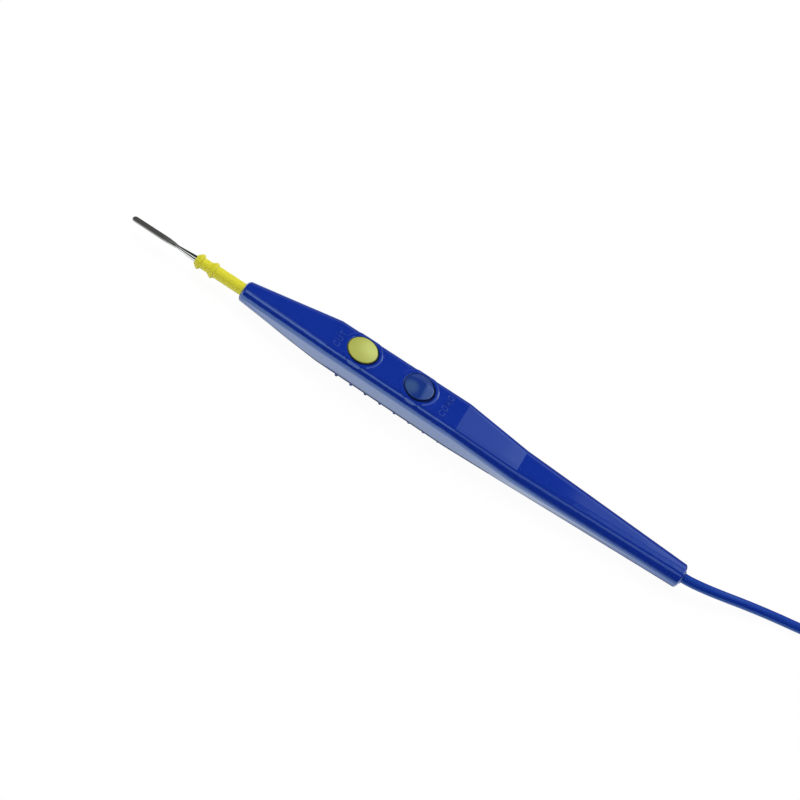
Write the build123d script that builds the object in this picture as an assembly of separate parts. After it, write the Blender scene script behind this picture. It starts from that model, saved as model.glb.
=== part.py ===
"""Electrosurgical pencil with a blade electrode, two hand switches and a three-pin cable.

Millimetres. The pencil lies along X with the blade at -X and the cable at +X, buttons up, and rests on the
grip ribs of its belly at Z = 0. Lengths along the handle are measured back from the tip of the nose.
"""

import math
import os

from build123d import *

os.makedirs("parts", exist_ok=True)

# Handle outline
HANDLE_LENGTH = 158.8
NOSE_RADIUS = 3.3
NOSE_ROUND = 1.8
TAPER_END = 30.5
SHOULDER = 76.7
SLOPE_END = 99.0
TAIL_RADIUS = 3.95
TAIL_ROUND = 1.2
FRONT_HALF_TOP = 8.15
FRONT_HALF_BELLY = 4.65
FRONT_DEPTH = 4.35
GRIP_HALF_TOP = 8.35
GRIP_RISE = 6.8
GRIP_TOP_ROUND = 2.85
GRIP_HALF_BELLY = 5.0
GRIP_DEPTH = 4.6
GRIP_BELLY_ROUND = 1.5
SLOPE_HALF_TOP = 8.1
SLOPE_RISE = 4.8
SLOPE_TOP_ROUND = 3.5
SLOPE_HALF_BELLY = 4.3
SLOPE_DEPTH = 4.35
SLOPE_BELLY_ROUND = 1.7
END_FLAT = 0.1

# Shell
WALL = 1.3
WELD = 0.1
NOSE_BLOCK = 12.0
TAIL_BLOCK = 8.8
MIN_ROUND = 0.3

# Belly cover and its grip ribs
COVER_START = 11.4
COVER_END = 92.9
COVER_GAP = 0.1
PARTING_DEPTH = 3.0
SHADOW_GROOVE = 0.4
RIB_COUNT = 8
RIB_FIRST = 37.7
RIB_PITCH = 5.26
RIB_HEIGHT = 0.6
RIB_RADIUS = 0.5
RIB_HALF_LENGTH = 4.35
RIB_EDGE = 0.2
LIP_HEIGHT = 1.5
LIP_THICKNESS = 0.9
LIP_INSET = 2.0
LIP_CLEARANCE = 0.1
TONGUE_REACH = 5.0
TONGUE_HALF_WIDTH = 2.2
TONGUE_THICKNESS = 1.0
POST_RADIUS = 1.1

# Buttons and their collars
CUT_BUTTON_AT = 40.55
COAG_BUTTON_AT = 60.8
BUTTON_RADIUS = 4.8
BUTTON_CLEARANCE = 0.2
BUTTON_STAND = 0.1
BUTTON_DOME = 0.7
BUTTON_EDGE = 0.4
BUTTON_WALL = 1.15
BUTTON_TRAVEL = 0.6
COLLAR_WIDTH = 1.7
COLLAR_CREST = 0.75
COLLAR_HEIGHT = 0.16
COLLAR_FOOT = 0.06
COLLAR_SPARE = 0.03
COLLAR_MOUTH = 0.2
COLLAR_SKIRT = 1.0
EAR_REACH = 1.3
EAR_HALF_WIDTH = 4.3
EAR_THICKNESS = 0.8
EAR_CLEARANCE = 0.1
STEM_RADIUS = 1.3
STEM_CLEARANCE = 0.05

# Circuit board and snap domes
BOARD_GAP = 0.5
BOARD_PAST_BUTTON = 10.25
BOARD_HALF_WIDTH = 4.4
BOARD_THICKNESS = 1.0
BOARD_TOP = 1.9
BOARD_CORNER = 0.8
HOLD_DOWN_WIDTH = 1.2
HOLD_DOWN_OVERLAP = 0.6
DOME_RADIUS = 4.0
DOME_FLATTENED = 0.2
DOME_THICKNESS = 0.15

# Electrode, its sleeve and its socket
SHANK_RADIUS = 1.19
ELECTRODE_LENGTH = 70.0
ELECTRODE_INSERTION = 30.15
BLADE_HALF_WIDTH = 1.25
BLADE_HALF_THICKNESS = 0.27
BLADE_EDGE = 0.2
BLADE_LENGTH = 12.6
BLADE_FLARE = 3.6
BLADE_TIP_ROUND = 1.1
BLADE_ROLL = 13.0
NECK_RADIUS = 0.55
NECK_TAPER = 8.1
SHANK_CHAMFER = 0.4
SLEEVE_SEAT = 10.0
SLEEVE_RADIUS = 2.0
SLEEVE_WAIST = 1.8
SLEEVE_GRIP = 0.02
SLEEVE_CLEARANCE = 0.05
BEAD_RADIUS = 2.8
BEAD_FLANK = 1.6
BEAD_BACK = 0.8
BEAD_FOOT = 1.5
BEAD_CREST = 0.6
BEAD_FILLET = 0.3
FRONT_BEAD = 15.4
REAR_BEAD = 10.5
SOCKET_RADIUS = 1.8
SOCKET_CLEARANCE = 0.04
SOCKET_END_GAP = 0.35
SOCKET_CAP = 1.0
SOCKET_SLOT = 0.5
SOCKET_SLOT_LENGTH = 9.0
SEAT_STEP = 0.3
TONGUE_LENGTH = 5.0
TONGUE_SHEET = 0.5
TONGUE_HALF = 1.2
SADDLE_INSET_FRONT = 2.0
SADDLE_INSET_REAR = 6.0
SADDLE_WIDTH = 2.0
SADDLE_GAP = 0.4

# Cable, bush and inner wires
CABLE_RADIUS = 1.65
BUSH_RADIUS = 2.2
BUSH_LIP = 0.5
BUSH_SHOULDER_RADIUS = 2.6
BUSH_SHOULDER = 3.5
BUSH_CLEARANCE = 0.12
BUSH_EDGE = 0.25
WIRE_RADIUS = 0.5
WIRE_PITCH_BUSH = 1.3
WIRE_PITCH_BOARD = 2.4
WIRE_LANDING = 4.0
WIRE_SAG = 0.1
WIRE_RISE = 0.6
ARC_SHARE = 0.45

# Hank of the put-away cable
HANK_TURNS = 4
HANK_LAYERS = 4
HANK_FOLD = 9.9
HANK_RUN = 49.5
HANK_START = 231.0
HANK_SIDE = -1.0
HANK_EDGE = 1.4
TIE_THICKNESS = 0.5
TIE_WIDTH = 5.0

# Three-pin plug
PLUG_START = 326.0
PLUG_SIDE = 4.0
BOOT_LENGTH = 20.0
BOOT_TIP_RADIUS = 2.3
BOOT_ROOT_RADIUS = 4.0
BOOT_RING_COUNT = 4
BOOT_RING_GAP = 1.4
BOOT_RING_DEPTH = 0.5
PLUG_LENGTH = 26.0
PLUG_TAPER = 11.0
PLUG_NECK_WIDTH = 14.0
PLUG_MARGIN = 6.0
PLUG_THICKNESS = 12.0
PLUG_CORNER = 4.0
PLUG_EDGE = 1.6
PIN_RADIUS = 2.0
PIN_LENGTH = 18.0
PIN_TIP = 1.2
PIN_ROOT_RADIUS = 1.6
PIN_ROOT_LENGTH = 7.0
PIN_ROOT_CLEARANCE = 0.02
PIN_SPACING_SWITCH = 12.7
PIN_SPACING_ACTIVE = 22.2

# Derived places
AXIS_Z = GRIP_DEPTH + RIB_HEIGHT
ELECTRODE_REACH = ELECTRODE_LENGTH - ELECTRODE_INSERTION
SLEEVE_REACH = FRONT_BEAD + BEAD_FLANK
NOSE_X = -(HANDLE_LENGTH + BUSH_LIP - ELECTRODE_REACH) / 2
TAIL_WALL = HANDLE_LENGTH - TAIL_BLOCK
BUTTON_PLACES = (CUT_BUTTON_AT, COAG_BUTTON_AT)
SOCKET_END = ELECTRODE_INSERTION + SOCKET_END_GAP + SOCKET_CAP
SADDLE_PLACES = (NOSE_BLOCK + SADDLE_INSET_FRONT, SOCKET_END - SADDLE_INSET_REAR)
BOARD_START = SOCKET_END + BOARD_GAP
BOARD_END = COAG_BUTTON_AT + BOARD_PAST_BUTTON
BOARD_MIDDLE = (CUT_BUTTON_AT + COAG_BUTTON_AT) / 2
DOME_HEIGHT = BUTTON_TRAVEL + DOME_FLATTENED
HANK_HEIGHT = HANK_LAYERS * 2 * CABLE_RADIUS
HANK_OUTER = HANK_FOLD + (HANK_TURNS - 1) * 2 * CABLE_RADIUS + CABLE_RADIUS
HANK_INNER = HANK_FOLD - CABLE_RADIUS
HANK_FAR_RUN = HANK_SIDE + HANK_OUTER - CABLE_RADIUS
HANK_FIRST_LAYER = TIE_THICKNESS + CABLE_RADIUS
HANK_LAST_LAYER = TIE_THICKNESS + HANK_HEIGHT - CABLE_RADIUS
PLUG_BODY_START = PLUG_START + BOOT_LENGTH
PLUG_FACE = PLUG_BODY_START + PLUG_LENGTH
PIN_SPREAD = PIN_SPACING_SWITCH + PIN_SPACING_ACTIVE
PIN_SIDES = (-PIN_SPREAD / 2, PIN_SPREAD / 2 - PIN_SPACING_SWITCH, PIN_SPREAD / 2)
PLUG_WIDTH = PIN_SPREAD + 2 * PLUG_MARGIN

# Cross-sections of the handle: half top, rise, top round, half belly, depth, belly round
NOSE = (NOSE_RADIUS, NOSE_RADIUS, NOSE_RADIUS - END_FLAT) * 2
FRONT = (FRONT_HALF_TOP, GRIP_RISE, GRIP_TOP_ROUND, FRONT_HALF_BELLY, FRONT_DEPTH, GRIP_BELLY_ROUND)
GRIP = (GRIP_HALF_TOP, GRIP_RISE, GRIP_TOP_ROUND, GRIP_HALF_BELLY, GRIP_DEPTH, GRIP_BELLY_ROUND)
SLOPE = (SLOPE_HALF_TOP, SLOPE_RISE, SLOPE_TOP_ROUND, SLOPE_HALF_BELLY, SLOPE_DEPTH, SLOPE_BELLY_ROUND)
TAIL = (TAIL_RADIUS, TAIL_RADIUS, TAIL_RADIUS - END_FLAT) * 2
STATIONS = (
    (0.0, NOSE),
    (TAPER_END, FRONT),
    (SHOULDER, GRIP),
    (SLOPE_END, SLOPE),
    (HANDLE_LENGTH, TAIL),
)

# Route of the cable's open stretches, chosen by hand: along from the nose, side, height over the table
LEAD_ROUTE = (
    (HANDLE_LENGTH + BUSH_LIP, 0.0, AXIS_Z),
    (161.3, 0.0, AXIS_Z),
    (166.5, 1.15, 5.0),
    (172.5, 3.2, 4.3),
    (180.5, 6.7, 2.8),
    (190.0, 9.8, 1.85),
    (200.0, 11.9, 1.75),
    (212.0, 14.6, 1.75),
    (224.0, 17.0, 2.0),
    (HANK_START + 8.0, HANK_FAR_RUN, HANK_FIRST_LAYER),
)
TAIL_ROUTE = (
    (274.0, HANK_FAR_RUN, HANK_LAST_LAYER),
    (285.0, 18.4, 11.9),
    (296.0, 15.6, 10.8),
    (306.0, 10.8, 8.9),
    (314.0, 6.3, 7.0),
    (320.5, PLUG_SIDE, PLUG_THICKNESS / 2),
    (PLUG_START, PLUG_SIDE, PLUG_THICKNESS / 2),
)


def at(along, side=0.0, above_axis=0.0):
    """Point of the row frame from a place along the handle."""
    return (NOSE_X + along, side, AXIS_Z + above_axis)


def across(along):
    """Plane across the handle, with its own x to +Y and its own y up."""
    return Plane(origin=at(along), x_dir=(0, 1, 0), z_dir=(1, 0, 0))


def lengthwise():
    """Plane along the handle, with its own x from the nose and its own y up from the axis."""
    return Plane(origin=at(0), x_dir=(1, 0, 0), z_dir=(0, -1, 0))


def rod(start, end, radius):
    """Round bar on the handle's axis."""
    return extrude(across(start) * Circle(radius), end - start)


def block(start, end, half_width, low, high):
    """Box between two places along the handle and two heights over its axis."""
    size = (end - start, 2 * half_width, high - low)
    return Pos(*at((start + end) / 2, 0, (low + high) / 2)) * Box(*size)


def section_values(along):
    """Cross-section sizes at a place along the handle, straight between stations."""
    for (start, first), (end, last) in zip(STATIONS, STATIONS[1:]):
        if along <= end:
            break
    share = (along - start) / (end - start)
    return [a + (b - a) * share for a, b in zip(first, last)]


def body_section(along, inset, floor_inset):
    """Rounded trapezoid across the handle, set in from the outside."""
    half_top, rise, top_round, half_belly, depth, belly_round = section_values(along)
    top = rise - inset
    floor = depth - floor_inset
    corners = (
        (inset - half_belly, -floor),
        (half_belly - inset, -floor),
        (half_top - inset, top),
        (inset - half_top, top),
    )
    outline = Polygon(*corners, align=None)
    outline = fillet(outline.vertices().group_by(Axis.Y)[-1], max(top_round - inset, MIN_ROUND))
    outline = fillet(outline.vertices().group_by(Axis.Y)[0], max(belly_round - inset, MIN_ROUND))
    return across(along) * outline


def body_loft(start, end, inset=0.0, floor_inset=None):
    """Straight-sided loft of the handle's form between two places, set in from the outside."""
    floor_inset = inset if floor_inset is None else floor_inset
    places = [start] + [along for along, _ in STATIONS if start < along < end] + [end]
    return loft([body_section(along, inset, floor_inset) for along in places], ruled=True)


def revolve_about_axis(outline):
    """Solid turned about the handle's axis from an outline of places along it and radii."""
    axis = Axis(at(0), (1, 0, 0))
    return revolve(lengthwise() * outline, axis)


def button_plane(along):
    """Plane on the flat top of the grip at a button, with its own y up."""
    return Plane(origin=at(along, 0, GRIP_RISE), x_dir=(1, 0, 0), z_dir=(0, -1, 0))


def turned_on_button(along, outline):
    """Solid turned about a button's upright axis from radii and heights over the grip's top."""
    return revolve(button_plane(along) * outline, Axis(at(along), (0, 0, 1)))


def collar(along):
    """Low boss at a button hole that falls in a soft curve and stays close over the grip's round edges."""
    inner = BUTTON_RADIUS + BUTTON_CLEARANCE
    crest = inner + COLLAR_CREST
    outer = inner + COLLAR_WIDTH
    drop = COLLAR_HEIGHT + COLLAR_FOOT
    curve = ((outer - crest) ** 2 + drop**2) / (2 * drop)
    edges = Polyline(
        (outer, -COLLAR_FOOT),
        (outer, -COLLAR_SKIRT),
        (0, -COLLAR_SKIRT),
        (0, COLLAR_HEIGHT),
        (crest, COLLAR_HEIGHT),
    )
    crown = RadiusArc((outer, -COLLAR_FOOT), (crest, COLLAR_HEIGHT), -curve)
    boss = turned_on_button(along, make_face(edges.edges() + crown.edges()))
    return boss & body_loft(along - 2 * outer, along + 2 * outer, -COLLAR_HEIGHT - COLLAR_SPARE)


def button_hole(along):
    """Cutter for a button hole whose mouth rounds the inner edge of the collar."""
    inner = BUTTON_RADIUS + BUTTON_CLEARANCE
    low = BOARD_TOP - GRIP_RISE
    mouth_low = COLLAR_HEIGHT - COLLAR_MOUTH
    edges = Polyline(
        (inner + COLLAR_MOUTH, COLLAR_HEIGHT),
        (inner + COLLAR_MOUTH, 2 * COLLAR_HEIGHT),
        (0, 2 * COLLAR_HEIGHT),
        (0, low),
        (inner, low),
        (inner, mouth_low),
    )
    mouth = RadiusArc((inner, mouth_low), (inner + COLLAR_MOUTH, COLLAR_HEIGHT), COLLAR_MOUTH)
    return turned_on_button(along, make_face(edges.edges() + mouth.edges()))


def hold_downs():
    """Ribs from the shell's ceiling and sides that the circuit board is pressed up against."""
    ear_half = BUTTON_RADIUS + BUTTON_CLEARANCE + EAR_REACH
    front = CUT_BUTTON_AT - ear_half - HOLD_DOWN_WIDTH
    rear = COAG_BUTTON_AT + ear_half
    ribs = []
    for start in (front, BOARD_MIDDLE - HOLD_DOWN_WIDTH / 2, rear):
        end = start + HOLD_DOWN_WIDTH
        rib = body_loft(start, end, WALL - WELD) & block(start, end, GRIP_HALF_TOP, BOARD_TOP, GRIP_RISE)
        ribs.append(rib - block(start, end, BOARD_HALF_WIDTH - HOLD_DOWN_OVERLAP, 0, GRIP_RISE))
    return ribs


def upper_saddles():
    """Webs from the shell's ceiling with half-round seats for the electrode socket."""
    seat = rod(NOSE_BLOCK, SOCKET_END, SOCKET_RADIUS)
    webs = []
    for start in SADDLE_PLACES:
        end = start + SADDLE_WIDTH
        web = body_loft(start, end, WALL - WELD) & block(start, end, GRIP_HALF_TOP, 0, GRIP_RISE)
        webs.append(web - seat)
    return webs


def corner_reach(along):
    """Distance from the axis to the outermost point of a top corner."""
    half_top, rise, top_round, _, _, _ = section_values(along)
    return math.hypot(half_top - top_round, rise - top_round) + top_round


def rounded_ends():
    """Turned form that rounds the edges of the nose and the tail and clears the rest of the handle."""
    clear = 2 * GRIP_HALF_TOP
    nose_flank = 2 * NOSE_ROUND
    tail_flank = HANDLE_LENGTH - 2 * TAIL_ROUND
    outline = Polygon(
        (0, 0),
        (0, NOSE_RADIUS),
        (nose_flank, corner_reach(nose_flank) + WELD),
        (nose_flank, clear),
        (tail_flank, clear),
        (tail_flank, corner_reach(tail_flank) + WELD),
        (HANDLE_LENGTH, TAIL_RADIUS),
        (HANDLE_LENGTH, 0),
        align=None,
    )
    outline = fillet(outline.vertices().sort_by_distance((0, NOSE_RADIUS, 0))[:1], NOSE_ROUND)
    outline = fillet(outline.vertices().sort_by_distance((HANDLE_LENGTH, TAIL_RADIUS, 0))[:1], TAIL_ROUND)
    return revolve_about_axis(outline)


def handle_body():
    """One-piece shell: nose, top, sides and tail, with an open belly and button holes in raised collars."""
    body = body_loft(0, HANDLE_LENGTH) & rounded_ends()
    for along in BUTTON_PLACES:
        body += collar(along)
    body -= body_loft(NOSE_BLOCK, COVER_END, WALL, 0)
    body -= body_loft(COVER_END - COVER_GAP, TAIL_WALL, WALL)
    body -= block(COVER_START, COVER_END, GRIP_HALF_TOP, -2 * GRIP_DEPTH, -PARTING_DEPTH)
    for along in BUTTON_PLACES:
        body -= button_hole(along)
    for piece in hold_downs() + upper_saddles():
        body += piece
    sleeve_bore = SLEEVE_RADIUS + SLEEVE_CLEARANCE
    body -= rod(-SLEEVE_REACH, SLEEVE_SEAT + SEAT_STEP, sleeve_bore)
    body -= rod(0, NOSE_BLOCK, (SHANK_RADIUS + sleeve_bore) / 2)
    body -= rod(TAIL_WALL, HANDLE_LENGTH, BUSH_RADIUS + BUSH_CLEARANCE)
    return body


def grip_rib(along):
    """Round bar half sunk across the belly, with rounded ends that show past its edge."""
    lift = RIB_RADIUS - RIB_HEIGHT
    bar = Rot(90, 0, 0) * Cylinder(RIB_RADIUS, 2 * RIB_HALF_LENGTH)
    return Pos(*at(along, 0, lift - GRIP_DEPTH)) * fillet(bar.edges().filter_by(GeomType.CIRCLE), RIB_EDGE)


def wall_half_width(along, above_axis):
    """Half width of the shell's flat side at a height over the axis."""
    half_top, rise, _, half_belly, depth, _ = section_values(along)
    return half_belly + (half_top - half_belly) * (above_axis + depth) / (rise + depth)


def cover_lips():
    """Locating lips that stand inside the shell's side walls."""
    outer = wall_half_width(TAPER_END, -PARTING_DEPTH) - WALL - LIP_CLEARANCE
    top = LIP_HEIGHT - PARTING_DEPTH
    lip = block(TAPER_END + LIP_INSET, SHOULDER - LIP_INSET, outer, -PARTING_DEPTH, top)
    return lip - block(TAPER_END, SHOULDER, outer - LIP_THICKNESS, -PARTING_DEPTH, top)


def lower_saddles():
    """Webs on the cover with half-round seats under the electrode socket."""
    seat = rod(NOSE_BLOCK, SOCKET_END, SOCKET_RADIUS)
    webs = []
    for start in SADDLE_PLACES:
        end = start + SADDLE_WIDTH
        web = body_loft(start, end, WALL + LIP_CLEARANCE, 0)
        webs.append((web & block(start, end, GRIP_HALF_TOP, -PARTING_DEPTH, -SADDLE_GAP)) - seat)
    return webs


def board_posts():
    """Posts on the cover that press the circuit board up, one under each button and one between."""
    height = BOARD_TOP - BOARD_THICKNESS + PARTING_DEPTH
    post = Cylinder(POST_RADIUS, height, align=(Align.CENTER, Align.CENTER, Align.MIN))
    return [Pos(*at(along, 0, -PARTING_DEPTH)) * post for along in (*BUTTON_PLACES, BOARD_MIDDLE)]


def belly_cover():
    """Plate that closes the belly, with a shadow groove, ribs, lips, saddles, posts and a rear tongue."""
    start = COVER_START + COVER_GAP
    end = COVER_END - COVER_GAP
    low = -2 * GRIP_DEPTH
    cover = body_loft(start, end) & block(start, end, GRIP_HALF_TOP, low, -PARTING_DEPTH)
    groove = block(start, end, GRIP_HALF_TOP, -PARTING_DEPTH - SHADOW_GROOVE, -PARTING_DEPTH)
    cover -= groove - body_loft(start, end, SHADOW_GROOVE, 0)
    for piece in [cover_lips()] + lower_saddles() + board_posts():
        cover += piece
    tongue_end = COVER_END + TONGUE_REACH
    tongue_top = TONGUE_THICKNESS - PARTING_DEPTH
    cover += block(COVER_END - TONGUE_REACH, tongue_end, TONGUE_HALF_WIDTH, -PARTING_DEPTH, tongue_top)
    for number in range(RIB_COUNT):
        cover += grip_rib(RIB_FIRST + number * RIB_PITCH)
    return cover


def button(along):
    """Domed cap with a skirt, two ears that keep it in its hole, and a stem over its snap dome."""
    rim = COLLAR_HEIGHT + BUTTON_STAND
    ear_top = -WALL - EAR_CLEARANCE
    ear_low = ear_top - EAR_THICKNESS
    hollow = rim - BUTTON_WALL
    stem_end = BOARD_TOP + DOME_HEIGHT + STEM_CLEARANCE - GRIP_RISE
    inner = BUTTON_RADIUS - BUTTON_WALL
    edges = Polyline(
        (0, rim + BUTTON_DOME),
        (0, stem_end),
        (STEM_RADIUS, stem_end),
        (STEM_RADIUS, hollow),
        (inner, hollow),
        (inner, ear_low),
        (BUTTON_RADIUS, ear_low),
        (BUTTON_RADIUS, rim),
    )
    sphere = (BUTTON_RADIUS**2 + BUTTON_DOME**2) / (2 * BUTTON_DOME)
    crown = RadiusArc((BUTTON_RADIUS, rim), (0, rim + BUTTON_DOME), -sphere)
    outline = make_face(edges.edges() + crown.edges())
    corner = outline.vertices().sort_by_distance((BUTTON_RADIUS, rim, 0))[:1]
    cap = turned_on_button(along, fillet(corner, BUTTON_EDGE))
    reach = BUTTON_RADIUS + BUTTON_CLEARANCE + EAR_REACH - EAR_CLEARANCE
    ears = Circle(reach) & Rectangle(2 * reach, 2 * EAR_HALF_WIDTH)
    ears -= Circle((inner + BUTTON_RADIUS) / 2)
    return cap + extrude(Pos(*at(along, 0, GRIP_RISE + ear_low)) * ears, EAR_THICKNESS)


def circuit_board():
    """Board strip with rounded corners."""
    middle = at((BOARD_START + BOARD_END) / 2, 0, BOARD_TOP - BOARD_THICKNESS)
    strip = RectangleRounded(BOARD_END - BOARD_START, 2 * BOARD_HALF_WIDTH, BOARD_CORNER)
    return extrude(Pos(*middle) * strip, BOARD_THICKNESS)


def cap_arc(radius, height, base):
    """Arc of a low spherical cap, from its rim to its crown."""
    sphere = (radius**2 + height**2) / (2 * height)
    return RadiusArc((radius, base), (0, base + height), -sphere)


def snap_dome(along):
    """Thin domed disc that clicks through under its button."""
    base = BOARD_TOP - GRIP_RISE
    outer = cap_arc(DOME_RADIUS, DOME_HEIGHT, base)
    inner = cap_arc(DOME_RADIUS - DOME_THICKNESS, DOME_HEIGHT - DOME_THICKNESS, base)
    foot = Line((DOME_RADIUS - DOME_THICKNESS, base), (DOME_RADIUS, base))
    crown = Line((0, base + DOME_HEIGHT), (0, base + DOME_HEIGHT - DOME_THICKNESS))
    outline = make_face(outer.edges() + inner.edges() + foot.edges() + crown.edges())
    return turned_on_button(along, outline)


def electrode_blade():
    """Turned rod with a waisted neck, pressed flat to a round-ended blade."""
    tip = -ELECTRODE_REACH
    flat_end = tip + BLADE_LENGTH
    neck = flat_end + BLADE_FLARE
    shank = neck + NECK_TAPER
    rear = tip + ELECTRODE_LENGTH
    outline = Polygon(
        (tip, 0),
        (tip, BLADE_HALF_WIDTH),
        (flat_end, BLADE_HALF_WIDTH),
        (neck, NECK_RADIUS),
        (shank, SHANK_RADIUS),
        (rear - SHANK_CHAMFER, SHANK_RADIUS),
        (rear, SHANK_RADIUS - SHANK_CHAMFER),
        (rear, 0),
        align=None,
    )
    outline = fillet(outline.vertices().sort_by_distance((tip, BLADE_HALF_WIDTH, 0))[:1], BLADE_TIP_ROUND)
    outline = fillet(outline.vertices().sort_by_distance((flat_end, BLADE_HALF_WIDTH, 0))[:1], BLADE_FLARE)
    outline = fillet(outline.vertices().sort_by_distance((neck, NECK_RADIUS, 0))[:1], BLADE_FLARE)
    pressing = Polygon(
        (tip, -BLADE_EDGE),
        (flat_end, -BLADE_HALF_THICKNESS),
        (neck, -NECK_RADIUS),
        (shank, -2 * SHANK_RADIUS),
        (rear, -2 * SHANK_RADIUS),
        (rear, 2 * SHANK_RADIUS),
        (shank, 2 * SHANK_RADIUS),
        (neck, NECK_RADIUS),
        (flat_end, BLADE_HALF_THICKNESS),
        (tip, BLADE_EDGE),
        align=None,
    )
    pressing = extrude(lengthwise() * pressing, 2 * BLADE_HALF_WIDTH, both=True)
    return (revolve_about_axis(outline) & pressing).rotate(Axis(at(0), (1, 0, 0)), -BLADE_ROLL)


def electrode_sleeve():
    """Insulating sleeve on the shank, seated in the nose, with two beads that taper to the blade."""
    bore = SHANK_RADIUS + SLEEVE_GRIP
    crests = [(-place, BEAD_RADIUS) for place in (FRONT_BEAD, REAR_BEAD)]
    corners = [
        (-FRONT_BEAD + BEAD_BACK, SLEEVE_WAIST),
        (-REAR_BEAD - BEAD_FLANK, SLEEVE_WAIST),
        (-REAR_BEAD + BEAD_BACK, SLEEVE_RADIUS),
    ]
    outline = Polygon(
        (-SLEEVE_REACH, bore),
        (-SLEEVE_REACH, BEAD_FOOT),
        crests[0],
        *corners[:2],
        crests[1],
        corners[2],
        (SLEEVE_SEAT, SLEEVE_RADIUS),
        (SLEEVE_SEAT, bore),
        align=None,
    )
    for places, radius in ((crests, BEAD_CREST), (corners, BEAD_FILLET)):
        for along, height in places:
            outline = fillet(outline.vertices().sort_by_distance((along, height, 0))[:1], radius)
    return revolve_about_axis(outline)


def electrode_socket():
    """Slotted brass tube that grips the shank, with a tongue soldered under the board."""
    bore = SHANK_RADIUS + SOCKET_CLEARANCE
    socket = rod(NOSE_BLOCK, SOCKET_END, SOCKET_RADIUS) - rod(NOSE_BLOCK, SOCKET_END - SOCKET_CAP, bore)
    slot_end = NOSE_BLOCK + SOCKET_SLOT_LENGTH
    socket -= block(NOSE_BLOCK, slot_end, SOCKET_SLOT / 2, -SOCKET_RADIUS, SOCKET_RADIUS)
    socket -= block(NOSE_BLOCK, slot_end, SOCKET_RADIUS, -SOCKET_SLOT / 2, SOCKET_SLOT / 2)
    board_low = BOARD_TOP - BOARD_THICKNESS
    tongue_start = SOCKET_END - SOCKET_CAP / 2
    tongue_end = BOARD_START + TONGUE_LENGTH
    return socket + block(tongue_start, tongue_end, TONGUE_HALF, board_low - TONGUE_SHEET, board_low)


def cable_bush():
    """Bush moulded on the cable, with a shoulder inside the tail and a lip outside it."""
    end = HANDLE_LENGTH + BUSH_LIP
    bush = rod(TAIL_WALL - BUSH_SHOULDER, TAIL_WALL, BUSH_SHOULDER_RADIUS) + rod(TAIL_WALL, end, BUSH_RADIUS)
    return fillet(bush.faces().sort_by(Axis.X)[-1].edges(), BUSH_EDGE)


def route_length(path):
    """Length of a path in millimetres."""
    return sum(edge.length for edge in path.edges())


def rounded_route(points, label):
    """Straight runs joined by the largest tangent arcs that each pair of runs allows."""
    vectors = [Vector(*point) for point in points]
    radii = []
    for before, here, after in zip(vectors, vectors[1:], vectors[2:]):
        turn = math.radians((here - before).get_angle(after - here))
        run = min((here - before).length, (after - here).length)
        radii.append(ARC_SHARE * run / math.tan(turn / 2))
    path = FilletPolyline(*vectors, radius=radii)
    print(label, "bend radii", [round(radius, 1) for radius in radii], "length", round(route_length(path), 1))
    return path


def tube(path, radius, label):
    """Round tube along a path, with its volume compared with its section times its length."""
    solid = sweep(Plane(path @ 0, z_dir=path % 0) * Circle(radius), path=path)
    share = solid.volume / (math.pi * radius**2 * route_length(path))
    print(label, "volume share", round(share, 4))
    return solid


def cable_stretch(route, label):
    """Cable along one of its open stretches."""
    points = [(NOSE_X + along, side, height) for along, side, height in route]
    return tube(rounded_route(points, label), CABLE_RADIUS, label)


def inner_wire(number, label):
    """Insulated wire from the bush along the tail to its landing on the board's rear end."""
    rest = BOARD_TOP + WIRE_RADIUS
    bush_side = number * WIRE_PITCH_BUSH
    board_side = number * WIRE_PITCH_BOARD
    start = TAIL_WALL - BUSH_SHOULDER
    quarter = (start - BOARD_END) / 4
    points = (
        at(start, bush_side, 0),
        at(start - quarter, bush_side, -WIRE_SAG),
        at(start - 2 * quarter, (bush_side + board_side) / 2, WIRE_RISE),
        at(start - 3 * quarter, board_side, rest - WIRE_SAG),
        at(BOARD_END - WIRE_LANDING, board_side, rest),
    )
    return tube(rounded_route(points, label), WIRE_RADIUS, label)


def cord_hank():
    """Outer form of the folded cable: an oval ring with its turns inside and on top of each other."""
    middle = NOSE_X + HANK_START + HANK_RUN / 2
    outline = SlotCenterToCenter(HANK_RUN, 2 * HANK_OUTER) - SlotCenterToCenter(HANK_RUN, 2 * HANK_INNER)
    ring = extrude(Pos(middle, HANK_SIDE, TIE_THICKNESS) * outline, HANK_HEIGHT)
    rims = ring.faces().sort_by(Axis.Z)
    return fillet(rims[0].edges() + rims[-1].edges(), HANK_EDGE)


def hank_tie():
    """Band round the middle of the hank."""
    centre = (NOSE_X + HANK_START + HANK_RUN / 2, HANK_SIDE, TIE_THICKNESS + HANK_HEIGHT / 2)
    band = Plane(origin=centre, x_dir=(0, 1, 0), z_dir=(1, 0, 0))
    outer = RectangleRounded(2 * (HANK_OUTER + TIE_THICKNESS), HANK_HEIGHT + 2 * TIE_THICKNESS, HANK_EDGE)
    inner = RectangleRounded(2 * HANK_OUTER, HANK_HEIGHT, HANK_EDGE - TIE_THICKNESS)
    return extrude(band * (outer - inner), TIE_WIDTH / 2, both=True)


def plug_plane(along):
    """Plane across the plug at a place along the row, with its own x to +Y and its own y up."""
    return Plane(origin=(NOSE_X + along, PLUG_SIDE, PLUG_THICKNESS / 2), x_dir=(0, 1, 0), z_dir=(1, 0, 0))


def plug_rod(start, end, radius, side=0.0):
    """Round bar along the plug, off its middle by a side distance."""
    return extrude(plug_plane(start) * Pos(side, 0) * Circle(radius), end - start)


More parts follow.
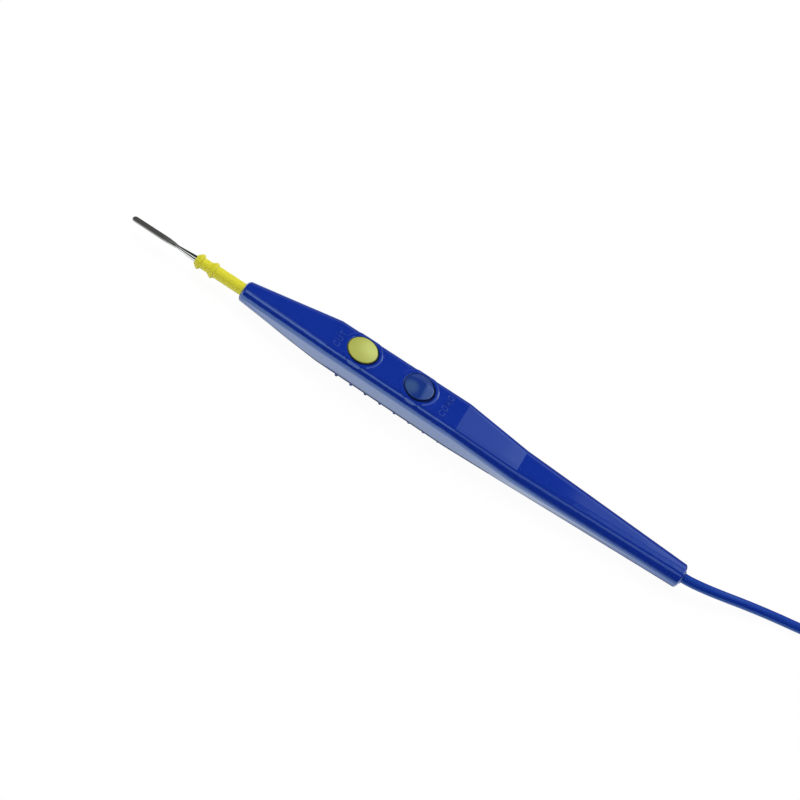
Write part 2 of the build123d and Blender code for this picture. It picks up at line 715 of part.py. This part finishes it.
def plug_boot():
    """Tapered strain relief with grooves."""
    boot = loft([
        plug_plane(PLUG_START) * Circle(BOOT_TIP_RADIUS),
        plug_plane(PLUG_BODY_START) * Circle(BOOT_ROOT_RADIUS),
    ])
    pitch = BOOT_LENGTH / (BOOT_RING_COUNT + 1)
    for number in range(1, BOOT_RING_COUNT + 1):
        place = PLUG_START + number * pitch
        depth_share = number * pitch / BOOT_LENGTH
        core = BOOT_TIP_RADIUS + (BOOT_ROOT_RADIUS - BOOT_TIP_RADIUS) * depth_share - BOOT_RING_DEPTH
        ring = plug_rod(place, place + BOOT_RING_GAP, 2 * BOOT_ROOT_RADIUS)
        boot -= ring - plug_rod(place, place + BOOT_RING_GAP, core)
    return boot


def plug_body():
    """Moulded plug, narrow at the boot and wide at the pins, with seats for the pins' roots."""
    half_neck = PLUG_NECK_WIDTH / 2
    half = PLUG_WIDTH / 2
    outline = Polygon(
        (0, -half_neck),
        (PLUG_TAPER, -half),
        (PLUG_LENGTH, -half),
        (PLUG_LENGTH, half),
        (PLUG_TAPER, half),
        (0, half_neck),
        align=None,
    )
    outline = fillet(outline.vertices(), PLUG_CORNER)
    plug = extrude(Pos(NOSE_X + PLUG_BODY_START, PLUG_SIDE, 0) * outline, PLUG_THICKNESS)
    rims = plug.faces().sort_by(Axis.Z)
    plug = fillet(rims[0].edges() + rims[-1].edges(), PLUG_EDGE)
    for side in PIN_SIDES:
        plug -= plug_rod(PLUG_FACE - PIN_ROOT_LENGTH, PLUG_FACE, PIN_ROOT_RADIUS + PIN_ROOT_CLEARANCE, side)
    return plug


def plug_pin(side):
    """Round-nosed contact pin with a thinner root in the plug."""
    pin = plug_rod(PLUG_FACE, PLUG_FACE + PIN_LENGTH, PIN_RADIUS, side)
    pin = fillet(pin.faces().sort_by(Axis.X)[-1].edges(), PIN_TIP)
    return pin + plug_rod(PLUG_FACE - PIN_ROOT_LENGTH, PLUG_FACE, PIN_ROOT_RADIUS, side)


NODES = {
    "handle_body": handle_body(),
    "belly_cover": belly_cover(),
    "cut_button": button(CUT_BUTTON_AT),
    "coag_button": button(COAG_BUTTON_AT),
    "circuit_board": circuit_board(),
    "cut_snap_dome": snap_dome(CUT_BUTTON_AT),
    "coag_snap_dome": snap_dome(COAG_BUTTON_AT),
    "electrode_blade": electrode_blade(),
    "electrode_sleeve": electrode_sleeve(),
    "electrode_socket": electrode_socket(),
    "cable_bush": cable_bush(),
    "active_wire": inner_wire(0, "active_wire"),
    "cut_wire": inner_wire(-1, "cut_wire"),
    "coag_wire": inner_wire(1, "coag_wire"),
    "cord_lead": cable_stretch(LEAD_ROUTE, "cord_lead"),
    "cord_hank": cord_hank(),
    "hank_tie": hank_tie(),
    "cord_tail": cable_stretch(TAIL_ROUTE, "cord_tail"),
    "plug_boot": plug_boot(),
    "plug_body": plug_body(),
    "active_pin": plug_pin(PIN_SIDES[0]),
    "cut_pin": plug_pin(PIN_SIDES[1]),
    "coag_pin": plug_pin(PIN_SIDES[2]),
}

for name, solid in NODES.items():
    export_step(solid, f"parts/{name}.step")

hank_length = HANK_LAYERS * sum(
    2 * HANK_RUN + 2 * math.pi * (HANK_FOLD + turn * 2 * CABLE_RADIUS) for turn in range(HANK_TURNS)
)
print("cable length in the hank", round(hank_length))
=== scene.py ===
"""Electrosurgical pencil on a pale studio table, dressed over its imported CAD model.

The pencil lies along X with its blade at -X and its cable at +X, buttons up. Places along it are given in
millimetres back from the tip of the nose, as the CAD source gives them.
"""

import math

import bpy
from mathutils import Matrix, Vector


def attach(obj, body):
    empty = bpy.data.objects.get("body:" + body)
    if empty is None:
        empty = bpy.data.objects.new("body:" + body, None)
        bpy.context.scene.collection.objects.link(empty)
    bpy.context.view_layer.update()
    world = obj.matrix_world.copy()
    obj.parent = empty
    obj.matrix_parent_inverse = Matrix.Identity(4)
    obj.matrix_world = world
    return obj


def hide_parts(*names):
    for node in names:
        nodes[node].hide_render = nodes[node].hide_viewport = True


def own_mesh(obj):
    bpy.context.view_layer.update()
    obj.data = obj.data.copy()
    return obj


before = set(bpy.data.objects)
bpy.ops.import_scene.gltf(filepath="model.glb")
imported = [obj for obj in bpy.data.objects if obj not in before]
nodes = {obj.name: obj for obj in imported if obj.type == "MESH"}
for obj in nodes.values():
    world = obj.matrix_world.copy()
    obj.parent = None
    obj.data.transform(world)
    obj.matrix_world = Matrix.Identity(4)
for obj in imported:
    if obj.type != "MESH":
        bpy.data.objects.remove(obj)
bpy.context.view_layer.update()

MM = 0.001

# Places shared with the CAD source, in millimetres
NOSE_X = -59.725
AXIS_Z = 5.2
GRIP_TOP_Z = 12.0
BUTTON_PLACES = (40.55, 60.8)
CABLE_DIAMETER = 3.3

# Camera: the pencil's axis lies across the view, turned in the picture
VIEW_ELEVATION = math.radians(49.0)
VIEW_ROLL = math.radians(33.235)
VIEW_DISTANCE = 650.0
VIEW_WIDTH = 242.4
VIEW_ALONG = 58.06
VIEW_BELOW_AXIS = 1.94
VIEW_CLIP = 10.0
SENSOR_WIDTH = 36.0


def metres(along, side, height):
    """Point of the row frame, in metres, from a place along the pencil."""
    return Vector(((NOSE_X + along) * MM, side * MM, height * MM))


def new_object(name, data):
    """Object of that data at the origin, in the scene."""
    thing = bpy.data.objects.new(name, data)
    bpy.context.scene.collection.objects.link(thing)
    return thing


def pick(piece):
    """That piece alone selected and active, for the operators."""
    bpy.ops.object.select_all(action="DESELECT")
    piece.select_set(True)
    bpy.context.view_layer.objects.active = piece


# Shader helpers


def linear(hex_colour):
    """Linear RGBA of an sRGB hex colour."""
    values = [int(hex_colour[i : i + 2], 16) / 255 for i in (1, 3, 5)]
    return [v / 12.92 if v <= 0.04045 else ((v + 0.055) / 1.055) ** 2.4 for v in values] + [1.0]


def add(tree, kind, settings=None, **inputs):
    """Node of a kind with its settings and inputs; an input is a value or another node's output."""
    node = tree.nodes.new("ShaderNode" + kind)
    for name, value in (settings or {}).items():
        setattr(node, name, value)
    for name, value in inputs.items():
        socket = node.inputs[int(name[1:])] if name[1:].isdigit() else node.inputs[name.replace("_", " ")]
        if isinstance(value, bpy.types.NodeSocket):
            tree.links.new(value, socket)
        else:
            socket.default_value = value
    return node


def blank_material(name):
    """Empty node material with its output."""
    material = bpy.data.materials.new(name)
    material.use_nodes = True
    tree = material.node_tree
    tree.nodes.clear()
    return material, tree, tree.nodes.new("ShaderNodeOutputMaterial")


def finish_material(tree, output, shader):
    """Shader wired to the material's output."""
    tree.links.new(shader.outputs[0], output.inputs["Surface"])


def dress(material, *names):
    """CAD nodes that take a material."""
    for name in names:
        slots = nodes[name].data.materials
        slots.clear()
        slots.append(material)


# Materials: marks and waves in millimetres, spreads as shares of a material's own roughness
FLOW_MARK = 14.0
FLOW_SPREAD = (0.9, 1.1)
GLOSS_WAVE = 1.6
GLOSS_WAVE_DEPTH = 0.02
COAT_ROUGHNESS = 0.06
COAT_IOR = 1.6
STREAK_STRETCH = (0.04, 1.0, 1.0)
STREAK_SPREAD = (0.75, 1.3)
GLOSSY_IOR = 1.85
GLOSSY_TINT = "#7CDAFF"


def moulded_plastic(name, deep, pale, roughness, coat, ior=1.5, tint="#FFFFFF", peel=0.03, painted_spots=()):
    """Injection-moulded plastic: one through-dyed colour with faint flow marks and a slightly wavy gloss.

    Each painted spot of light or shade is a middle, a reach and a softness in millimetres, and the colour
    inside it.
    """
    material, tree, output = blank_material(name)
    place = add(tree, "TexCoord").outputs["Object"]
    flow = add(tree, "TexNoise", Vector=place, Scale=1 / (FLOW_MARK * MM), Detail=2.0, Roughness=0.5)
    colour = add(
        tree, "Mix", {"data_type": "RGBA"}, _0=flow.outputs["Fac"], _6=linear(deep), _7=linear(pale)
    ).outputs[2]
    for middle, reach, soft, shade in painted_spots:
        centred = add(tree, "Mapping", Vector=place, Location=-metres(*middle)).outputs[0]
        away = add(tree, "VectorMath", {"operation": "LENGTH"}, _0=centred).outputs["Value"]
        inside = add(
            tree,
            "MapRange",
            {"interpolation_type": "SMOOTHSTEP"},
            Value=away,
            From_Min=(reach - soft) * MM,
            From_Max=(reach + soft) * MM,
            To_Min=1.0,
            To_Max=0.0,
        ).outputs[0]
        colour = add(tree, "Mix", {"data_type": "RGBA"}, _0=inside, _6=colour, _7=linear(shade)).outputs[2]
    gloss = add(
        tree,
        "MapRange",
        Value=flow.outputs["Fac"],
        To_Min=roughness * FLOW_SPREAD[0],
        To_Max=roughness * FLOW_SPREAD[1],
    ).outputs[0]
    skin = add(tree, "TexNoise", Vector=place, Scale=1 / (GLOSS_WAVE * MM), Detail=1.0)
    wave = add(
        tree, "Bump", Strength=peel, Distance=GLOSS_WAVE_DEPTH * MM, Height=skin.outputs["Fac"]
    ).outputs[0]
    shader = add(
        tree,
        "BsdfPrincipled",
        Base_Color=colour,
        Roughness=gloss,
        IOR=ior,
        Specular_Tint=linear(tint),
        Coat_Weight=coat,
        Coat_Roughness=COAT_ROUGHNESS,
        Coat_IOR=COAT_IOR,
        Normal=wave,
    )
    finish_material(tree, output, shader)
    return material


def brushed_metal(name, deep, pale, roughness, streak_mm, bright=None):
    """Drawn or turned metal: streaks along X that spread its reflections.

    A bright part is the span over which the metal passes to a polished colour, and that colour.
    """
    material, tree, output = blank_material(name)
    place = add(tree, "TexCoord").outputs["Object"]
    across = add(tree, "Mapping", Vector=place, Scale=STREAK_STRETCH).outputs[0]
    streaks = add(tree, "TexNoise", Vector=across, Scale=1 / (streak_mm * MM), Detail=3.0)
    colour = add(
        tree, "Mix", {"data_type": "RGBA"}, _0=streaks.outputs["Fac"], _6=linear(deep), _7=linear(pale)
    ).outputs[2]
    if bright is not None:
        start, end, polished = bright
        behind = add(
            tree,
            "MapRange",
            Value=add(tree, "SeparateXYZ", Vector=place).outputs["X"],
            From_Min=metres(start, 0, 0).x,
            From_Max=metres(end, 0, 0).x,
        ).outputs[0]
        colour = add(tree, "Mix", {"data_type": "RGBA"}, _0=behind, _6=colour, _7=linear(polished)).outputs[2]
    spread = add(
        tree,
        "MapRange",
        Value=streaks.outputs["Fac"],
        To_Min=roughness * STREAK_SPREAD[0],
        To_Max=roughness * STREAK_SPREAD[1],
    ).outputs[0]
    shader = add(tree, "BsdfPrincipled", Base_Color=colour, Metallic=1.0, Roughness=spread)
    finish_material(tree, output, shader)
    return material


# The photograph shows deep shade round the rear and near side of each cap, painted here on the collar
painted_gap_shade = [((place + 0.25, -0.3, GRIP_TOP_Z), 5.25, 0.2, "#040F3C") for place in BUTTON_PLACES]
handle_abs = moulded_plastic(
    "moulded_abs_blue",
    "#0E2C92",
    "#112F99",
    0.09,
    1.0,
    ior=GLOSSY_IOR,
    tint=GLOSSY_TINT,
    painted_spots=painted_gap_shade,
)
# The raised words take a paler blue than the grip
label_abs = moulded_plastic("moulded_abs_pale_blue", "#203F9B", "#25449F", 0.35, 0.0)
# Its caps are rounder than the solids and catch the light in one place each, the yellow one at its rear and
# the blue one on its near side: painted highlights here
cap_rear_highlight = [((BUTTON_PLACES[0] + 2.6, 1.6, GRIP_TOP_Z + 1.0), 3.4, 3.0, "#BEC670")]
cap_near_side_highlight = [((BUTTON_PLACES[1] - 2.4, -2.0, GRIP_TOP_Z + 0.9), 2.3, 1.2, "#385286")]
button_yellow = moulded_plastic("moulded_abs_yellow", "#A1A74B", "#A9AF53", 0.35, 0.3, painted_spots=cap_rear_highlight)
button_blue = moulded_plastic(
    "moulded_abs_slate_blue",
    "#14307C",
    "#183486",
    0.12,
    1.0,
    ior=GLOSSY_IOR,
    tint=GLOSSY_TINT,
    painted_spots=cap_near_side_highlight,
)
sleeve_yellow = moulded_plastic("moulded_nylon_yellow", "#CFCA2A", "#DAD536", 0.4, 0.0, peel=0.0)
cable_pvc = moulded_plastic("extruded_pvc_blue", "#102C8E", "#132F96", 0.2, 0.0, ior=1.7, tint=GLOSSY_TINT)
board_green = moulded_plastic("solder_mask_green", "#1B5B2E", "#226A38", 0.4, 0.0)
wire_white = moulded_plastic("pvc_white", "#D8D8D2", "#E2E2DC", 0.45, 0.0)
wire_yellow = moulded_plastic("pvc_yellow", "#D2B41E", "#DCBE28", 0.45, 0.0)
wire_blue = moulded_plastic("pvc_blue", "#2846A8", "#3050B4", 0.45, 0.0)
tie_band = moulded_plastic("polythene_white", "#DEDEDA", "#E8E8E4", 0.55, 0.0)
blade_steel = brushed_metal(
    "ground_stainless_steel", "#989894", "#A8A8A4", 0.12, 0.25, bright=(-29.0, -22.0, "#EEEEEA")
)
dome_steel = brushed_metal("spring_steel", "#A8A8A4", "#B8B8B4", 0.3, 0.4)
socket_brass = brushed_metal("turned_brass", "#B08D4A", "#C29E58", 0.3, 0.4)
pin_plated = brushed_metal("nickel_plated_brass", "#C6C2B4", "#D4D0C2", 0.22, 0.4)

dress(handle_abs, "handle_body", "belly_cover", "plug_body")
dress(button_yellow, "cut_button")
dress(button_blue, "coag_button")
dress(sleeve_yellow, "electrode_sleeve")
dress(blade_steel, "electrode_blade")
dress(cable_pvc, "cable_bush", "plug_boot", "cord_lead", "cord_hank", "cord_tail")
dress(board_green, "circuit_board")
dress(dome_steel, "cut_snap_dome", "coag_snap_dome")
dress(socket_brass, "electrode_socket")
dress(wire_white, "active_wire")
dress(wire_yellow, "cut_wire")
dress(wire_blue, "coag_wire")
dress(tie_band, "hank_tie")
dress(pin_plated, "active_pin", "cut_pin", "coag_pin")

# Cable: from the tail to the edge of the picture, then put away in a tied hank, then to its plug
LEAD_ROUTE = (
    (159.3, 0.0, AXIS_Z),
    (161.3, 0.0, AXIS_Z),
    (166.5, 1.15, 5.0),
    (172.5, 3.2, 4.3),
    (180.5, 6.7, 2.8),
    (190.0, 9.8, 1.85),
    (200.0, 11.9, 1.75),
    (212.0, 14.6, 1.75),
    (224.0, 17.0, 2.0),
    (239.0, 18.8, 2.15),
)
TAIL_ROUTE = (
    (274.0, 18.8, 12.05),
    (285.0, 18.4, 11.9),
    (296.0, 15.6, 10.8),
    (306.0, 10.8, 8.9),
    (314.0, 6.3, 7.0),
    (320.5, 4.0, 6.0),
    (326.0, 4.0, 6.0),
)
HANK_START = 231.0
HANK_RUN = 49.5
HANK_SIDE = -1.0
HANK_FIRST_LAYER = 2.15
HANK_FOLDS = (19.8, 16.5, 13.2, 9.9)
HANK_LAYERS = 4
FOLD_STEP = math.radians(30.0)
FOLD_POINTS = 6


def fold(middle, first_angle, radii, heights):
    """Points round one end of the hank, on the tangents of its bend, as the bend and the height change."""
    points = []
    for number in range(FOLD_POINTS):
        share = (number + 0.5) / FOLD_POINTS
        reach = (radii[0] + (radii[1] - radii[0]) * share) / math.cos(FOLD_STEP / 2)
        angle = first_angle - (number + 0.5) * FOLD_STEP
        height = heights[0] + (heights[1] - heights[0]) * share
        points.append((middle + reach * math.cos(angle), HANK_SIDE + reach * math.sin(angle), height))
    return points


def hank_points():
    """Turns of the hank: in towards its middle on one layer, out again on the next."""
    order = []
    for layer in range(HANK_LAYERS):
        folds = HANK_FOLDS if layer % 2 == 0 else HANK_FOLDS[::-1]
        order += [(radius, HANK_FIRST_LAYER + layer * CABLE_DIAMETER) for radius in folds]
    rear = HANK_START + HANK_RUN
    points = []
    for (radius, height), (next_radius, next_height) in zip(order, order[1:]):
        lead_in = 2 * radius * math.tan(FOLD_STEP / 2)
        if points:
            points.append((HANK_START + lead_in, HANK_SIDE + radius, height))
        points.append((rear - lead_in, HANK_SIDE + radius, height))
        points += fold(rear, math.pi / 2, (radius, radius), (height, height))
        points.append((rear - lead_in, HANK_SIDE - radius, height))
        points.append((HANK_START + lead_in, HANK_SIDE - radius, height))
        points += fold(HANK_START, -math.pi / 2, (radius, next_radius), (height, next_height))
    return points


def cable():
    """The whole cable as one smooth curve through its route and its hank."""
    route = [metres(*point) for point in (*LEAD_ROUTE, *hank_points(), *TAIL_ROUTE)]
    data = bpy.data.curves.new("cable", "CURVE")
    data.dimensions = "3D"
    data.bevel_depth = CABLE_DIAMETER / 2 * MM
    data.bevel_resolution = 5
    data.resolution_u = 5
    data.use_fill_caps = True
    spline = data.splines.new("NURBS")
    spline.points.add(len(route) - 1)
    for point, place in zip(spline.points, route):
        point.co = (*place, 1.0)
    spline.order_u = 3
    spline.use_endpoint_u = True
    piece = new_object("cable", data)
    data.materials.append(cable_pvc)
    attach(piece, "handle")
    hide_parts("cord_lead", "cord_hank", "cord_tail")


cable()

# Raised function words on the grip, read from the near side to the far side
LETTER_HEIGHT = 1.8
LETTER_WIDTH = 1.5
LETTER_PITCH = 2.35
LETTER_STROKE = 0.17
LETTER_RAISE = 0.02
LETTER_SMOOTH = math.radians(50.0)
LABELS = {"CUT": (32.8, -1.15), "COAG": (70.65, -0.45)}

# Strokes of the plain square letters in shares of their width and height
BOWL = ((1.0, 0.8), (0.8, 1.0), (0.2, 1.0), (0.0, 0.8), (0.0, 0.2), (0.2, 0.0), (0.8, 0.0), (1.0, 0.2))
STROKES = {
    "A": (((0.0, 0.0), (0.5, 1.0), (1.0, 0.0)), ((0.18, 0.36), (0.82, 0.36))),
    "C": (BOWL,),
    "G": (BOWL + ((1.0, 0.48), (0.6, 0.48)),),
    "O": (BOWL + BOWL[:1],),
    "T": (((0.0, 1.0), (1.0, 1.0)), ((0.5, 1.0), (0.5, 0.0))),
    "U": (((0.0, 1.0), (0.0, 0.2), (0.2, 0.0), (0.8, 0.0), (1.0, 0.2), (1.0, 1.0)),),
}


def label(word, along, middle):
    """Raised word across the top of the grip: half-round strokes, the letters' tops towards the blade."""
    data = bpy.data.curves.new("label_" + word.lower(), "CURVE")
    data.dimensions = "3D"
    data.bevel_depth = LETTER_STROKE * MM
    data.bevel_resolution = 2
    data.use_fill_caps = True
    first = middle - LETTER_PITCH * (len(word) - 1) / 2 - LETTER_WIDTH / 2
    for number, letter in enumerate(word):
        for stroke in STROKES[letter]:
            spline = data.splines.new("POLY")
            spline.points.add(len(stroke) - 1)
            for point, (across, up) in zip(spline.points, stroke):
                side = first + number * LETTER_PITCH + across * LETTER_WIDTH
                back = along + LETTER_HEIGHT * (0.5 - up)
                point.co = (*metres(back, side, GRIP_TOP_Z + LETTER_RAISE), 1.0)
    pick(new_object(data.name, data))
    bpy.ops.object.convert(target="MESH")
    bpy.ops.object.shade_smooth_by_angle(angle=LETTER_SMOOTH)
    piece = bpy.context.object
    piece.data.materials.append(label_abs)
    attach(piece, "handle")


for word, place in LABELS.items():
    label(word, *place)

# Snap domes: each springs flat on the board as its button goes down. Here they are copies of the CAD domes,
# with their points merged within this distance in millimetres
DOME_MERGE = 0.001


def snap_dome(name):
    """The CAD dome's own shape, copied with its doubled points merged, in place of the CAD node."""
    piece = new_object(name + "_spring", nodes[name].data.copy())
    pick(piece)
    bpy.ops.object.mode_set(mode="EDIT")
    bpy.ops.mesh.select_all(action="SELECT")
    bpy.ops.mesh.remove_doubles(threshold=DOME_MERGE * MM)
    bpy.ops.object.mode_set(mode="OBJECT")
    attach(piece, "handle")
    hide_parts(name)
    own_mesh(piece)


snap_dome("cut_snap_dome")
snap_dome("coag_snap_dome")

# Table, in metres, and how much of its shading is left in the white that the camera sees
TABLE_SIZE = 12.0
TABLE_COLOUR = "#F8F8F6"
CAMERA_SHARE = 0.965
# The table in the gloss, in millimetres along X and to each side of the pencil: a faint blue cast of painted
# light, a painted pool of light that narrows to the rear, and painted shade under blade, grip, rear and cable
MIRRORED_TONE = "#F6FDFF"
POOL_SPAN = (-30.0, 60.0)
POOL_REACH = (45.0, 11.0)
POOL_FADE = 2.0
SHADE_FRONT = (-60.0, -25.0)
SHADE_REAR = (10.0, 45.0)
SHADE_END = (98.0, 102.0)
SHADE_REACH = (2.2, 5.5, 4.3, 0.4)
SHADE_SOFT = 1.1
SHADE_LEVEL = 0.25
# Room light, besides the lamps
WORLD_STRENGTH = 0.02


def table_top():
    """Pale table, white to the camera; gloss shows painted shade under the pencil, painted light fading
    aside.
    """
    bpy.ops.object.select_all(action="DESELECT")
    bpy.ops.mesh.primitive_plane_add(size=TABLE_SIZE)
    table = bpy.context.object
    table.name = "table"
    material, tree, output = blank_material("white_table")
    path = add(tree, "LightPath")
    seen = add(tree, "Math", {"operation": "MULTIPLY"}, _0=path.outputs["Is Camera Ray"], _1=CAMERA_SHARE)
    mirrored = add(
        tree,
        "Math",
        {"operation": "MAXIMUM"},
        _0=path.outputs["Is Glossy Ray"],
        _1=path.outputs["Is Transmission Ray"],
    )
    share = add(tree, "Math", {"operation": "MAXIMUM"}, _0=seen.outputs[0], _1=mirrored.outputs[0])
    place = add(tree, "SeparateXYZ", Vector=add(tree, "TexCoord").outputs["Object"])
    away = add(tree, "Math", {"operation": "ABSOLUTE"}, _0=place.outputs["Y"]).outputs[0]
    reach = add(
        tree,
        "MapRange",
        {"interpolation_type": "SMOOTHSTEP"},
        Value=place.outputs["X"],
        From_Min=POOL_SPAN[0] * MM,
        From_Max=POOL_SPAN[1] * MM,
        To_Min=POOL_REACH[0] * MM,
        To_Max=POOL_REACH[1] * MM,
    ).outputs[0]
    near = add(tree, "Math", {"operation": "DIVIDE"}, _0=reach, _1=away).outputs[0]
    pool = add(tree, "Math", {"operation": "POWER", "use_clamp": True}, _0=near, _1=POOL_FADE).outputs[0]
    blade, grip, rear, cord = SHADE_REACH
    ramps = ((SHADE_FRONT, (blade, grip)), (SHADE_REAR, (grip, rear)), (SHADE_END, (grip, cord)))
    widths = [
        add(
            tree,
            "MapRange",
            Value=place.outputs["X"],
            From_Min=span[0] * MM,
            From_Max=span[1] * MM,
            To_Min=ends[0] * MM,
            To_Max=ends[1] * MM,
        ).outputs[0]
        for span, ends in ramps
    ]
    width = widths[0]
    for other in widths[1:]:
        width = add(tree, "Math", {"operation": "MINIMUM"}, _0=width, _1=other).outputs[0]
    core = add(
        tree,
        "MapRange",
        {"interpolation_type": "SMOOTHSTEP"},
        Value=add(tree, "Math", {"operation": "DIVIDE"}, _0=away, _1=width).outputs[0],
        From_Min=1 / SHADE_SOFT,
        From_Max=SHADE_SOFT,
        To_Min=SHADE_LEVEL,
        To_Max=1.0,
    ).outputs[0]
    painted_floor_light = add(tree, "Math", {"operation": "MULTIPLY"}, _0=pool, _1=core).outputs[0]
    level = add(tree, "Math", {"operation": "MAXIMUM"}, _0=painted_floor_light, _1=path.outputs["Is Camera Ray"]).outputs[0]
    matt = add(tree, "BsdfDiffuse", Color=linear(TABLE_COLOUR))
    tone = add(
        tree,
        "Mix",
        {"data_type": "RGBA"},
        _0=path.outputs["Is Camera Ray"],
        _6=linear(MIRRORED_TONE),
        _7=linear("#FFFFFF"),
    ).outputs[2]
    white = add(tree, "Emission", Color=tone, Strength=level)
    mixed = add(tree, "MixShader", _0=share.outputs[0], _1=matt.outputs[0], _2=white.outputs[0])
    finish_material(tree, output, mixed)
    material.cycles.emission_sampling = "NONE"  # it is no lamp, and sampling it as one only makes grain
    table.data.materials.append(material)


def softbox(name, place, size, radiance, aim=None, shown=True):
    """Rectangular lamp as bright all over as a surface of that radiance, level unless it is aimed."""
    lamp = bpy.data.lights.new(name, "AREA")
    lamp.shape = "RECTANGLE"
    lamp.size, lamp.size_y = size
    lamp.energy = radiance * math.pi * size[0] * size[1]
    box = new_object(name, lamp)
    turn = Matrix.Identity(4)
    if aim is not None:
        turn = (Vector(aim) - Vector(place)).to_track_quat("-Z", "Y").to_matrix().to_4x4()
    box.matrix_world = Matrix.Translation(place) @ turn
    box.visible_glossy = shown


def lights():
    """Diffuse key from above and behind, and softboxes that the gloss shows."""
    middle = (0.0, 0.0, 0.0)
    softbox("key", (-0.25, 0.5, 1.3), (1.2, 1.2), 5.0, middle, shown=False)
    softbox("front_fill", (0.0, -1.3, 0.12), (1.6, 0.24), 4.0, middle, shown=False)
    softbox("right_box", (0.795, 0.75, 1.0), (1.01, 1.8), 0.5)
    softbox("right_edge", (0.25, 0.75, 1.0), (0.08, 1.8), 0.29)
    softbox("right_wall", (1.2, 0.9, 0.6), (1.6, 0.9), 1.2, middle)
    softbox("front_strip", (-0.35, -0.78, 1.0), (0.94, 0.5), 0.8, (-0.35, 0.0, 0.0))
    softbox("front_strip_right", (0.62, -0.78, 1.0), (1.0, 0.5), 0.42, (0.62, 0.0, 0.0))
    softbox("front_left_box", (-0.6, -0.45, 1.0), (0.7, 0.5), 0.34)
    softbox("back_panel", (0.0, 1.7, 0.75), (2.4, 0.7), 0.17, middle)
    world = bpy.data.worlds.new("studio")
    world.use_nodes = True
    background = world.node_tree.nodes["Background"]
    background.inputs["Color"].default_value = (1.0, 1.0, 1.0, 1.0)
    background.inputs["Strength"].default_value = WORLD_STRENGTH
    bpy.context.scene.world = world


def camera():
    """Camera square to the pencil's axis, above its near side and rolled as the photograph is."""
    forward = Vector((0, math.cos(VIEW_ELEVATION), -math.sin(VIEW_ELEVATION)))
    upright = Vector((0, math.sin(VIEW_ELEVATION), math.cos(VIEW_ELEVATION)))
    level = Vector((1, 0, 0))
    right = math.cos(VIEW_ROLL) * level + math.sin(VIEW_ROLL) * upright
    up = math.cos(VIEW_ROLL) * upright - math.sin(VIEW_ROLL) * level
    target = metres(VIEW_ALONG, 0, AXIS_Z) - upright * VIEW_BELOW_AXIS * MM
    data = bpy.data.cameras.new("camera")
    data.sensor_width = SENSOR_WIDTH
    data.lens = SENSOR_WIDTH * VIEW_DISTANCE / VIEW_WIDTH
    data.clip_start = VIEW_CLIP * MM
    view = new_object("camera", data)
    turn = Matrix((right, up, -forward)).transposed().to_4x4()
    view.matrix_world = Matrix.Translation(target - forward * VIEW_DISTANCE * MM) @ turn
    bpy.context.scene.camera = view


table_top()
lights()
camera()
bpy.context.scene.view_settings.view_transform = "Standard"
